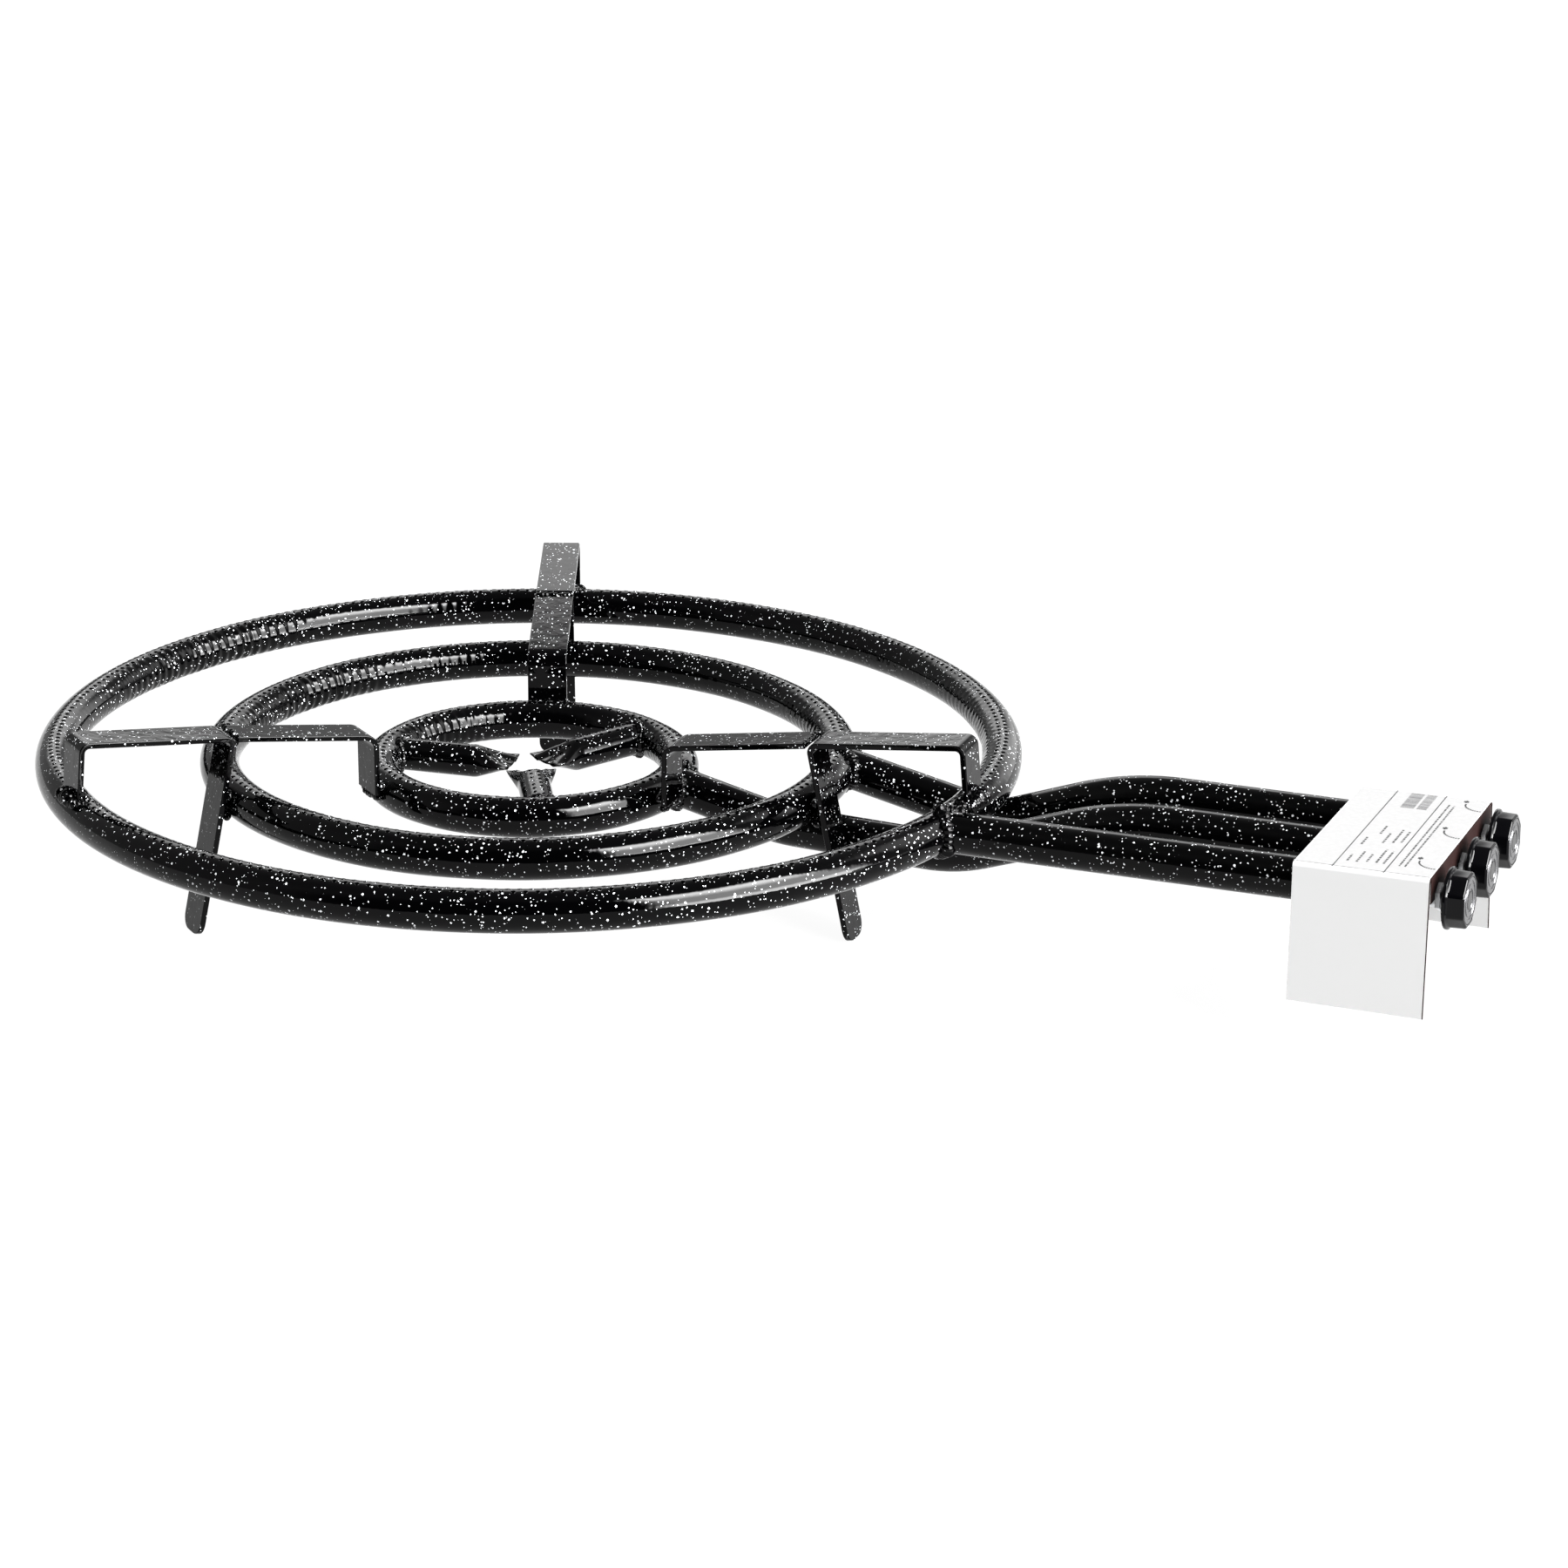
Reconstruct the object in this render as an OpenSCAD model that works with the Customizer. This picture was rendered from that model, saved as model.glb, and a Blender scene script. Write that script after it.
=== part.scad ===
// Three-ring enamelled gas burner for a wide, shallow pan.
// +X runs out along the handle, +Z is up, the origin is on the floor under the ring centre.
// Everything on the handle (tubes, cover, taps) is drawn in its own frame and tilted once.

/* [Rings] */
// Outside diameter of the largest ring, mm
outer_ring_diameter = 600; // [580:5:620]
// Outside diameter of the middle ring, mm
middle_ring_diameter = 403; // [390:1:410]
// Outside diameter of the smallest ring, mm
inner_ring_diameter = 208; // [200:1:212]
// Outside diameter of the steel tube of rings and feeds, mm
tube_diameter = 24; // [22:0.5:24.5]
// Wall of that tube, mm
tube_wall = 1.5; // [1.2:0.1:2]
// Height of the largest ring's centreline above the floor, mm
ring_height = 85; // [80:1:95]

/* [Supports] */
// Width of the flat bar of the three pan supports, mm
bar_width = 25; // [20:1:28]
// Thickness of that bar, mm
bar_thickness = 3.4; // [3:0.1:4]

/* [Handle and cover] */
// Upward slope of the handle, degrees
handle_tilt = 2; // [0:0.5:3]
// Distance between neighbouring feed tubes and taps, mm
tap_pitch = 50; // [48:0.5:52]
// Length of the folded cover along the handle, mm
cover_length = 73.5; // [70:0.5:75]
// Width of the cover across the top, mm
cover_width = 136; // [134:1:145]
// Drop of the cover's side plates, mm
cover_height = 77; // [60:1:90]

/* [Taps] */
// Diameter of the skirt behind each knob, mm
knob_diameter = 34; // [32:0.5:36]
// How far a knob pushes in, mm
push_travel = 2.8; // [2:0.1:3]

/* [Hidden] */
$fn = 64;
tube_r = tube_diameter / 2;
tube_bore_r = tube_r - tube_wall;
outer_r = outer_ring_diameter / 2 - tube_r;
middle_r = middle_ring_diameter / 2 - tube_r;
inner_r = inner_ring_diameter / 2 - tube_r;
outer_z = ring_height;
middle_z = outer_z - 7.5;
inner_z = outer_z - 18;
weld_gap = 0.05;
bend_overlap = 0.02;
bend_fullness = 1.002;

// Feed tubes: three parallel tubes, the middle one on the handle's centreline.
handle_y = 11;
feed_y = [for (i = [0:2]) handle_y + (i - 1) * tap_pitch];
feed_end_x = 222;
feed_port_r = 7;
feed_bend_r = 100;
feed_hump_r = 180;
feed_crown = 1.5;
dip_bend_r = 50;

// Supports, numbered from the one nearest the handle: direction and sideways offset.
support_angle = [3.5, 115, 235.5];
support_offset = [-28.5, -5, -3];
foot_corner_r = 8;
tight_bend = 4.5;
wide_bend = 8;
// Pan support centrelines, [distance from the ring axis, height above the largest ring].
leg_lean = 12.4;
riser_lean = 5.5;
bar_outer = [outer_r + 1.6, 44.8];
bar_inner = [middle_r + 7.5, 34];
arm_inner = [inner_r + tube_r + 2.6, 20.2];
arm_end = [bar_inner[0] - 2.6, bar_inner[1] - 0.4];
bead_r = 2.2;

// Jets: three short tubes inside the smallest ring, ends crushed flat.
jet_angle = [66, 190, 303];
jet_r = 10;
jet_wall = 1.2;
jet_mouth_x = 12;
jet_round_x = 40;
jet_mouth_width = 30;
jet_mouth_height = 3.2;

// Control end, in the handle's frame: x from the largest ring's centreline, z from the tube axis.
cover_front = 280.3;
cover_back = cover_front - cover_length;
cover_top = 15.5;
sheet = 1;
fold_bend = 2;
side_splay = 4;
lip_height = 15;
label_thickness = 0.3;
tap_axis_gap = 0.05;
mixer_x = [feed_end_x - 10, feed_end_x, feed_end_x + 4];
injector_x = [215, 226.2, 230.5, 235];
body_x = [231, 262];
plug_x = [238, 252];
plug_r = 5;
spring_wire_r = 0.35;
spring_half_turns = 6;
collar_x = [258, 261.6];
bonnet_x = [262.1, 267, 283];
nut_x = [cover_front + 0.1, cover_front + 2.5];
key_length = 5.5;
spigot_r = 6;
stem_r = 4;
stem_tip = 293.5;
manifold_x = 241;
manifold_z = -17;
manifold_r = 8;
manifold_bore_r = 6.5;
manifold_y = [handle_y - tap_pitch - 12, handle_y + cover_width / 2 + 8];
nozzle_length = 32;
nozzle_tip_r = 4;
knob_back = nut_x[1] + 0.4 + push_travel;
knob_skirt = 2;
knob_front = 297.4;
knob_body_r = knob_diameter / 2 - 0.8;

enamel = [0.07, 0.07, 0.08];
steel = [0.82, 0.83, 0.85];
brass = [0.78, 0.65, 0.32];
plastic = [0.05, 0.05, 0.05];
paper = [0.95, 0.95, 0.95];

// ---- shared helpers ----

// Frame of the handle: x along the tubes, z square to them.
module in_handle() {
    translate([outer_r, 0, outer_z]) rotate([0, -handle_tilt, 0]) children();
}

// Height of the handle's axis at a distance x from the ring axis.
function handle_z(x) = outer_z + (x - outer_r) * tan(handle_tilt);

// The point on the handle's axis at x in the handle's frame, as [x, z].
function handle_point(x) = [outer_r + x * cos(handle_tilt), outer_z + x * sin(handle_tilt)];

// Where a ring of centreline radius r lies at the sideways position y.
function ring_x(r, y) = sqrt(r * r - y * y);

// Lays a cylinder along +X from x0 to x1.
module rod(x0, x1, r0, r1 = undef) {
    far_r = r1 == undef ? r0 : r1;
    translate([x0, 0, 0]) rotate([0, 90, 0]) cylinder(h = x1 - x0, r1 = r0, r2 = far_r);
}

function heading(p, q) = atan2(q[1] - p[1], q[0] - p[0]);
function wrapped(a) = a > 180 ? a - 360 : a < -180 ? a + 360 : a;
function turn_at(path, i) =
    wrapped(heading(path[i], path[i + 1]) - heading(path[i - 1], path[i]));
function setback(path, i, bend) =
    i == 0 || i == len(path) - 1 ? 0 : bend[i] * tan(abs(turn_at(path, i)) / 2);

// Sweeps a flat section along a path in the XZ plane: straights joined by round bends.
// The section's x lies in the plane and its y across it; bend[i] is the bend radius at point i.
// A bend is a hair fuller than the straights, which run a little way into it.
module bent_run(path, bend) {
    for (i = [0:len(path) - 2]) {
        h = heading(path[i], path[i + 1]);
        from = setback(path, i, bend) - (i > 0 ? bend_overlap : 0);
        to = setback(path, i + 1, bend) - (i < len(path) - 2 ? bend_overlap : 0);
        start = path[i] + from * [cos(h), sin(h)];
        translate([start[0], 0, start[1]]) rotate([0, 90 - h, 0])
            linear_extrude(norm(path[i + 1] - path[i]) - from - to) children();
    }
    for (i = [1:len(path) - 2]) {
        turn = turn_at(path, i);
        side = sign(turn);
        h = heading(path[i - 1], path[i]);
        start = path[i] - setback(path, i, bend) * [cos(h), sin(h)];
        centre = start + side * bend[i] * [-sin(h), cos(h)];
        first = side > 0 ? h - 90 : h + 90 - abs(turn);
        translate([centre[0], 0, centre[1]]) rotate([90, 0, 0]) rotate([0, 0, first])
            rotate_extrude(angle = abs(turn), $fn = 180)
                translate([bend[i], 0]) scale(bend_fullness) children();
    }
}

// ---- rings and jets ----

module ring_solid(r, z, section_r) {
    translate([0, 0, z]) rotate_extrude($fn = 180) translate([r, 0]) circle(r = section_r);
}

// A closed hoop of tube with the port that its feed opens into.
module ring(r, z, port_y) {
    color(enamel) difference() {
        ring_solid(r, z, tube_r);
        ring_solid(r, z, tube_bore_r);
        translate([0, port_y, z]) rod(ring_x(r, port_y), ring_x(r, port_y) + 2 * tube_r, feed_port_r);
    }
}

module outer_ring() ring(outer_r, outer_z, feed_y[0]);
module inner_ring() ring(inner_r, inner_z, feed_y[1]);
module middle_ring() ring(middle_r, middle_z, feed_y[2]);

// Envelope of one jet: a tube whose end is pressed between two slanting planes and spreads sideways.
// shrink takes the wall off every side for the hollow, which reaches out past both ends.
module jet_shape(shrink, reach) {
    mouth_z = jet_mouth_height / 2 - shrink;
    round_z = jet_r + 0.4 - shrink;
    mouth_x = jet_mouth_x - reach;
    intersection() {
        rod(mouth_x, jet_round_x, jet_mouth_width / 2 - shrink, jet_r - shrink);
        rotate([90, 0, 0]) linear_extrude(2 * jet_mouth_width, center = true) polygon([
            [mouth_x - 1, mouth_z], [jet_round_x + 1, round_z],
            [jet_round_x + 1, -round_z], [mouth_x - 1, -mouth_z]
        ]);
    }
    rod(jet_round_x, inner_r + reach, jet_r - shrink);
}

module jet(i) {
    color(enamel) difference() {
        translate([0, 0, inner_z]) rotate([0, 0, jet_angle[i]]) difference() {
            jet_shape(0, 0);
            jet_shape(jet_wall, 1);
        }
        ring_solid(inner_r, inner_z, tube_r + weld_gap);
    }
}

module jet_1() jet(0);
module jet_2() jet(1);
module jet_3() jet(2);

// ---- feed tubes ----

// A tube from its ring's centreline to the mixer, coped round the ring it is welded to.
module feed(y, path, bend, r, z) {
    color(enamel) difference() {
        translate([0, y, 0]) bent_run(path, bend) circle(r = tube_r);
        translate([0, y, 0]) bent_run(path, bend) circle(r = tube_bore_r);
        ring_solid(r, z, tube_r + weld_gap);
    }
}

// Straight from the largest ring.
module outer_feed() {
    y = feed_y[0];
    x = ring_x(outer_r, y);
    feed(y, [[x, handle_z(x)], handle_point(feed_end_x)], [0, 0], outer_r, outer_z);
}

// Falls from the smallest ring, runs level under the other two, and climbs to the handle.
module inner_feed() {
    y = feed_y[1];
    low = middle_z - 2 * tube_r - 1;
    climb_x = outer_r + 88;
    path = [
        [ring_x(inner_r, y), inner_z], [middle_r - 24, low], [outer_r - 12, low],
        [climb_x, handle_z(climb_x) + feed_crown], handle_point(feed_end_x)
    ];
    feed(y, path, [0, feed_bend_r, feed_bend_r, feed_hump_r, 0], inner_r, inner_z);
}

// Falls from the middle ring, dips under the largest one, and climbs to the handle.
module middle_feed() {
    y = feed_y[2];
    dip = [ring_x(outer_r, y) + 1.5, outer_z - 2 * tube_r - 3];
    climb_x = outer_r + 76;
    path = [
        [ring_x(middle_r, y), middle_z], dip, [climb_x, handle_z(climb_x) + feed_crown],
        handle_point(feed_end_x)
    ];
    feed(y, path, [0, dip_bend_r, feed_hump_r, 0], middle_r, middle_z);
}

// ---- pan supports ----

module at_support(i) {
    rotate([0, 0, support_angle[i]]) translate([0, support_offset[i], outer_z]) children();
}

module bar_section() square([bar_thickness, bar_width], center = true);

// The point at height z on a line that runs down from p, leaning outwards.
function lean_to(p, z, lean) = [p[0] + (p[1] - z) * tan(lean), z];

// Plan shape of a foot: the bar's end with both corners rounded, as a block to keep.
module foot_trim() {
    span = bar_width - 2 * foot_corner_r;
    below = outer_z;
    for (side = [-1, 1])
        translate([0, side * span / 2, foot_corner_r - below]) rotate([0, 90, 0])
            cylinder(h = 2 * outer_r, r = foot_corner_r);
    translate([0, -span / 2, -below]) cube([2 * outer_r, span, foot_corner_r]);
    translate([0, -bar_width, foot_corner_r - below]) cube([2 * outer_r, 2 * bar_width, 2 * outer_z]);
}

// One bar bent twice: riser on the largest ring, pan rest, and leg down past the middle ring.
module support(i) {
    path = [
        lean_to(bar_outer, 4, riser_lean), bar_outer, bar_inner, lean_to(bar_inner, -outer_z - 5, leg_lean)
    ];
    color(enamel) difference() {
        at_support(i) intersection() {
            bent_run(path, [0, tight_bend, tight_bend, 0]) bar_section();
            foot_trim();
        }
        ring_solid(outer_r, outer_z, tube_r + weld_gap);
        ring_solid(middle_r, middle_z, tube_r + weld_gap);
    }
}

// The shorter bar from the smallest ring up to the first bar's inner bend.
module support_arm(i) {
    foot = [arm_inner[0], inner_z - outer_z - 4];
    color(enamel) difference() {
        at_support(i) bent_run([foot, arm_inner, arm_end], [0, wide_bend, 0]) bar_section();
        ring_solid(inner_r, inner_z, tube_r + weld_gap);
    }
}

// A straight bead across the bar at a point of the support's own plane.
module bead(p, r = bead_r) {
    translate([p[0], 0, p[1]]) rotate([90, 0, 0])
        cylinder(h = bar_width - 1, r = r, center = true);
}

module support_welds() {
    color(enamel) for (i = [0:2]) at_support(i) {
        bead([(bar_inner[0] + arm_end[0]) / 2 - 0.6, bar_inner[1] + 1.2], 1.5);
        for (side = [-1, 1])
            bead(lean_to(bar_outer, 10.5, riser_lean) + [side * (bar_thickness / 2 + 0.6), 0]);
        bead([middle_r + tube_r + 0.8, middle_z - outer_z + 4.5]);
        bead([inner_r + tube_r - 0.4, inner_z - outer_z + 6.5]);
    }
}

module support_1() support(0);
module support_2() support(1);
module support_3() support(2);
module support_arm_1() support_arm(0);
module support_arm_2() support_arm(1);
module support_arm_3() support_arm(2);

// ---- cover ----

side_drop = cover_height - sheet / 2;
side_flare = side_drop * tan(side_splay);
cover_path = [
    [-cover_width / 2 + sheet / 2 - side_flare, -side_drop], [-cover_width / 2 + sheet / 2, 0],
    [cover_width / 2 - sheet / 2, 0], [cover_width / 2 - sheet / 2 + side_flare, -side_drop]
];

// One sheet folded into a bridge over the taps, with a short lip down its front edge.
module cover() {
    color(steel) in_handle() difference() {
        union() {
            translate([cover_back + cover_length / 2, handle_y, cover_top - sheet / 2])
                rotate([0, 0, 90]) bent_run(cover_path, [0, fold_bend, fold_bend, 0])
                    square([sheet, cover_length], center = true);
            translate([cover_front - sheet, handle_y - cover_width / 2 + 3, cover_top - lip_height])
                cube([sheet, cover_width - 6, lip_height]);
        }
        for (y = feed_y) translate([0, y, 0]) rod(cover_front - 3, cover_front + 3, spigot_r + 0.3);
        along_y(manifold_x, manifold_z, handle_y, handle_y + cover_width, manifold_r + 1);
    }
}

module cover_label() {
    color(paper) in_handle()
        translate([cover_back + 1, handle_y - cover_width / 2 + 2.5, cover_top])
            cube([cover_length - 2, cover_width - 5, label_thickness]);
}

// The strip that carries the cover's rear edge on the three tubes.
module cover_spacer() {
    color(steel) in_handle()
        translate([cover_back + 2, handle_y - cover_width / 2 + 6, tube_r + 0.3])
            cube([12, cover_width - 12, cover_top - sheet - tube_r - 0.35]);
}

module panel_nuts() {
    color(steel) in_handle() for (y = feed_y) translate([0, y, 0]) difference() {
        rod(nut_x[0], nut_x[1], 8, $fn = 6);
        rod(nut_x[0] - 1, nut_x[1] + 1, spigot_r + 0.03);
    }
}

// ---- gas train ----

module along_y(x, z, y0, y1, r) {
    translate([x, y0, z]) rotate([-90, 0, 0]) cylinder(h = y1 - y0, r = r);
}

module manifold() {
    color(steel) in_handle() difference() {
        along_y(manifold_x, manifold_z, manifold_y[0], manifold_y[1], manifold_r);
        along_y(manifold_x, manifold_z, manifold_y[0] - 1, manifold_y[1] + 1, manifold_bore_r);
        for (y = feed_y) translate([manifold_x, y, manifold_z]) cylinder(h = 20, r = 5.03);
    }
}

module manifold_plug() {
    color(brass) in_handle() {
        along_y(manifold_x, manifold_z, manifold_y[0] - 3, manifold_y[0] - 0.02, manifold_r);
        along_y(manifold_x, manifold_z, manifold_y[0] - 1, manifold_y[0] + 6, manifold_bore_r - 0.03);
    }
}

// Hose tail on the far end of the manifold: hexagon, three barbs and a plain tip.
module inlet_nozzle() {
    y0 = manifold_y[1];
    color(brass) in_handle() translate([manifold_x, 0, manifold_z]) rotate([0, 0, 90]) difference() {
        union() {
            rod(y0 - 6, y0 + 1, manifold_bore_r - 0.03);
            rod(y0 + 0.02, y0 + 7, 9.5, $fn = 6);
            rod(y0 + 7, y0 + nozzle_length, nozzle_tip_r);
            for (k = [0:2]) rod(y0 + 8 + 4 * k, y0 + 11.5 + 4 * k, 5, nozzle_tip_r);
        }
        rod(y0 - 10, y0 + nozzle_length + 1, 2.5);
    }
}

module in_tap(i) {
    in_handle() translate([0, feed_y[i], 0]) children();
}

// Air plug in the end of a feed tube: a ring of holes round the seat of the injector.
module mixer(i) {
    color(steel) in_tap(i) difference() {
        union() {
            rod(mixer_x[0], mixer_x[1] + 1, tube_bore_r - 0.15);
            rod(mixer_x[1] + 0.02, mixer_x[2], tube_r);
        }
        rod(mixer_x[0] - 1, mixer_x[2] + 1, 4.03);
        for (a = [45:90:315])
            rotate([a, 0, 0]) translate([0, 0, 7.1]) rod(mixer_x[0] - 1, mixer_x[2] + 1, 2);
    }
}

module mixer_1() mixer(0);
module mixer_2() mixer(1);
module mixer_3() mixer(2);

module injectors() {
    color(brass) for (i = [0:2]) in_tap(i) difference() {
        union() {
            rod(injector_x[0], injector_x[3], 4);
            rod(injector_x[1], injector_x[2], 6.5, $fn = 6);
        }
        rod(injector_x[0] - 1, injector_x[0] + 3, 0.7);
        rod(injector_x[0] + 2, injector_x[3] + 1, 2.2);
    }
}

// Tap body: barrel on the tap's axis with a stub down into the manifold.
module valve_body(i) {
    color(brass) in_tap(i) difference() {
        union() {
            rod(body_x[0], body_x[1], 8);
            translate([manifold_x, 0, manifold_z + 4]) cylinder(h = -manifold_z - 8, r = 5);
            translate([manifold_x, 0, manifold_z + manifold_r + 0.5])
                cylinder(h = 6, r = 7);
        }
        rod(body_x[0] - 1, injector_x[3] + 1, 4.03);
        rod(injector_x[3], plug_x[0] + 1, 2.2);
        rod(plug_x[0] - 0.3, body_x[1] + 1, plug_r + tap_axis_gap);
        translate([manifold_x, 0, manifold_z]) cylinder(h = -manifold_z, r = 2.2);
    }
}

module valve_body_1() valve_body(0);
module valve_body_2() valve_body(1);
module valve_body_3() valve_body(2);

// Screwed cap on the tap body, with the threaded front that the panel nut grips.
module bonnet(i) {
    color(brass) in_tap(i) difference() {
        union() {
            rod(bonnet_x[0], bonnet_x[1], 9, $fn = 6);
            rod(bonnet_x[1] - 0.5, bonnet_x[2], spigot_r);
        }
        rod(bonnet_x[0] - 1, bonnet_x[2] + 1, stem_r + 0.05);
    }
}

module bonnet_1() bonnet(0);
module bonnet_2() bonnet(1);
module bonnet_3() bonnet(2);

// Rotary plug: the wide port meets the inlet at a quarter turn, the fine one at half a turn.
module plug(i) {
    color(brass) in_tap(i) difference() {
        rod(plug_x[0], plug_x[1], plug_r);
        rod(plug_x[0] - 1, manifold_x + 1, 2.2);
        translate([manifold_x, 0, 0]) rotate([90, 0, 0]) cylinder(h = plug_r + 1, r = 1.6);
        translate([manifold_x, 0, 0]) cylinder(h = plug_r + 1, r = 0.6);
        translate([plug_x[1] - key_length - push_travel - 0.2, -1.65, -2.7]) cube([12, 3.3, 5.4]);
    }
}

module plug_1() plug(0);
module plug_2() plug(1);
module plug_3() plug(2);

// A coil along +Z from z = 0, built of half turns tilted to and fro, a bead over each joint.
module coil(coil_r, wire_r, half_turns, length) {
    rise = length / half_turns;
    for (k = [0:half_turns - 1])
        translate([0, 0, (k + 0.5) * rise]) rotate([0, 0, 180 * k])
            rotate([0, asin(rise / 2 / coil_r), 0])
                rotate([0, 0, 0.2]) rotate_extrude(angle = 179.6)
                    translate([coil_r, 0]) circle(r = wire_r);
    for (k = [0:half_turns])
        translate([k % 2 == 0 ? coil_r : -coil_r, 0, k * rise]) sphere(r = 1.08 * wire_r);
}

// Return spring between the plug and the stem's collar.
module spring(i) {
    margin = spring_wire_r * 1.08 + 0.05;
    color(steel) in_tap(i) translate([plug_x[1] + margin, 0, 0]) rotate([0, 90, 0])
        coil(4.1, spring_wire_r, spring_half_turns, collar_x[0] - plug_x[1] - 2 * margin);
}

module spring_1() spring(0);
module spring_2() spring(1);
module spring_3() spring(2);

// Stem: flat key into the plug, collar for the spring, round shank with a flat for the knob.
module stem(i) {
    color(steel) in_tap(i) difference() {
        union() {
            translate([plug_x[1] - key_length, -1.5, -2.5])
                cube([collar_x[0] - plug_x[1] + key_length + 1, 3, 5]);
            rod(collar_x[0], collar_x[1], 4.7);
            rod(collar_x[1] - 0.5, stem_tip, stem_r);
        }
        translate([bonnet_x[2] + 3, -5, 2.6]) cube([30, 10, 5]);
    }
}

module stem_1() stem(0);
module stem_2() stem(1);
module stem_3() stem(2);

// Knob: thin round skirt, eight-sided grip with rounded corners, hollow behind for the panel nut.
module knob(i) {
    color(plastic) in_tap(i) difference() {
        union() {
            rod(knob_back, knob_back + knob_skirt, knob_diameter / 2);
            intersection() {
                rotate([22.5, 0, 0])
                    rod(knob_back + 0.5, knob_front, knob_body_r * 1.05, $fn = 8);
                rod(knob_back + 0.5, knob_front, knob_body_r);
            }
        }
        rod(knob_back - 1, knob_back + 5, 9.6);
        difference() {
            rod(knob_back, stem_tip + 0.5, stem_r + 0.02);
            translate([bonnet_x[2] + 3, -5, 2.65]) cube([30, 10, 5]);
        }
        rod(knob_front - 1.2, knob_front + 1, 10.5);
    }
}

module knob_1() knob(0);
module knob_2() knob(1);
module knob_3() knob(2);

// Bright disc in the knob's face with a raised ring.
module knob_cap(i) {
    color(steel) in_tap(i) difference() {
        rod(knob_front - 1.18, knob_front - 0.2, 10.45);
        rod(knob_front - 0.7, knob_front + 1, 8.5);
    }
}

module knob_cap_1() knob_cap(0);
module knob_cap_2() knob_cap(1);
module knob_cap_3() knob_cap(2);

outer_ring();
middle_ring();
inner_ring();
jet_1();
jet_2();
jet_3();
outer_feed();
inner_feed();
middle_feed();
support_1();
support_2();
support_3();
support_arm_1();
support_arm_2();
support_arm_3();
support_welds();
cover();
cover_label();
cover_spacer();
panel_nuts();
manifold();
manifold_plug();
inlet_nozzle();
mixer_1();
mixer_2();
mixer_3();
injectors();
valve_body_1();
valve_body_2();
valve_body_3();
bonnet_1();
bonnet_2();
bonnet_3();
plug_1();
plug_2();
plug_3();
spring_1();
spring_2();
spring_3();
stem_1();
stem_2();
stem_3();
knob_1();
knob_2();
knob_3();
knob_cap_1();
knob_cap_2();
knob_cap_3();
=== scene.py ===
"""Looks of a three-ring enamelled gas burner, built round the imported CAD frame.

Meshes are drawn in millimetres in the part's own frame and turned into metres by piece().
"""

import math

import bpy
import numpy as np
from mathutils import Matrix, Vector


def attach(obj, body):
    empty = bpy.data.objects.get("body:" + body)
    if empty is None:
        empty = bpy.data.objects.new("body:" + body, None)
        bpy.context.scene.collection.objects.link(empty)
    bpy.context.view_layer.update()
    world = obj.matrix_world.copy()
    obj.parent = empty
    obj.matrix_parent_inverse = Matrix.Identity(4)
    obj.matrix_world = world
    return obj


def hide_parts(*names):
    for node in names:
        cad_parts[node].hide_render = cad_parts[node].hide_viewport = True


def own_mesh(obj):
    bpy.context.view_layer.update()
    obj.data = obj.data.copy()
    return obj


MM = 0.001

# Rings: centreline radius, height, holes in each of the two rows.
RINGS = {
    "outer_ring": (288.0, 85.0, 278),
    "middle_ring": (189.5, 77.5, 183),
    "inner_ring": (92.0, 67.0, 89),
}
TUBE_R = 12.0

# A burner hole's square cell of mesh: its width, the quads along a side, and the points round the hole.
HOLE_CELL = 3.25
HOLE_SEGMENTS = 3
HOLE_POINTS = 4 * HOLE_SEGMENTS
# Cross lines from one hole to the next in its row. The two rows are staggered by half of it.
HOLE_PITCH = 2 * HOLE_SEGMENTS
# Rim and well of one hole: distance from its axis, height above the tube.
HOLE_PROFILE = [(1.54, 0.0), (1.42, 0.18), (1.24, 0.1), (1.14, -0.5), (1.1, -2.4)]
# How far the rows lie from the crest of a ring and of a jet.
RING_ROW_OFFSET = 2.15
JET_ROW_OFFSET = 2.4
# Lengthwise lines round the rest of a tube.
PLAIN_LINES = 24

# Wrinkles on the inner side of the rings: the distance from one to the next, and the stretches where
# they stand out, as azimuth and spread in degrees and height.
WRINKLES = {
    "outer_ring": (7.4, [(168, 13, 1.0), (22, 20, 0.24), (128, 12, 0.07)]),
    "middle_ring": (7.0, [(165, 20, 0.8), (25, 22, 0.26), (118, 14, 0.1)]),
    "inner_ring": (6.6, [(165, 22, 0.6), (25, 25, 0.26), (120, 16, 0.12)]),
}
WRINKLE_ELSEWHERE = 0.02
# How far the rings' section wanders from a circle.
RING_SLACK = 0.12
# Lengthwise crease on the inner side of the rings: azimuth and spread in degrees, angle round the
# tube, half width and depth.
CREASE_SECTOR = 33.0
CREASE_SPREAD = 17.0
CREASE_AT = math.radians(158)
CREASE_HALF_WIDTH = 0.15
CREASE_DEPTH = 0.7

# Jets inside the smallest ring: azimuths, tube, and where the mouth, the round part and the end lie.
JET_ANGLES = [66.0, 190.0, 303.0]
JET_R = 10.0
JET_MOUTH_X = 12.0
JET_ROUND_X = 36.0
JET_END_X = 86.0
JET_HOLE_DISTANCE = 6.5
# The crushed mouth: half height, share of the full flattening curve that it takes, extra width,
# depth and width of the pressed middle, height and rate of the folds, lift and width of the bow.
MOUTH_HALF_HEIGHT = 1.6
MOUTH_CRUSH = 0.85
MOUTH_FLARE = 0.1
MOUTH_PRESS = (0.62, 6.0)
MOUTH_FOLDS = (0.5, 0.75)
MOUTH_BOW = (1.6, 15)
# The tube's cut end: distance behind the mouth, depth under the skin.
MOUTH_LIP = [(0, 0.0), (-0.4, -0.3), (-0.4, -0.8), (0, -1.1), (10, -1.1)]

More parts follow.
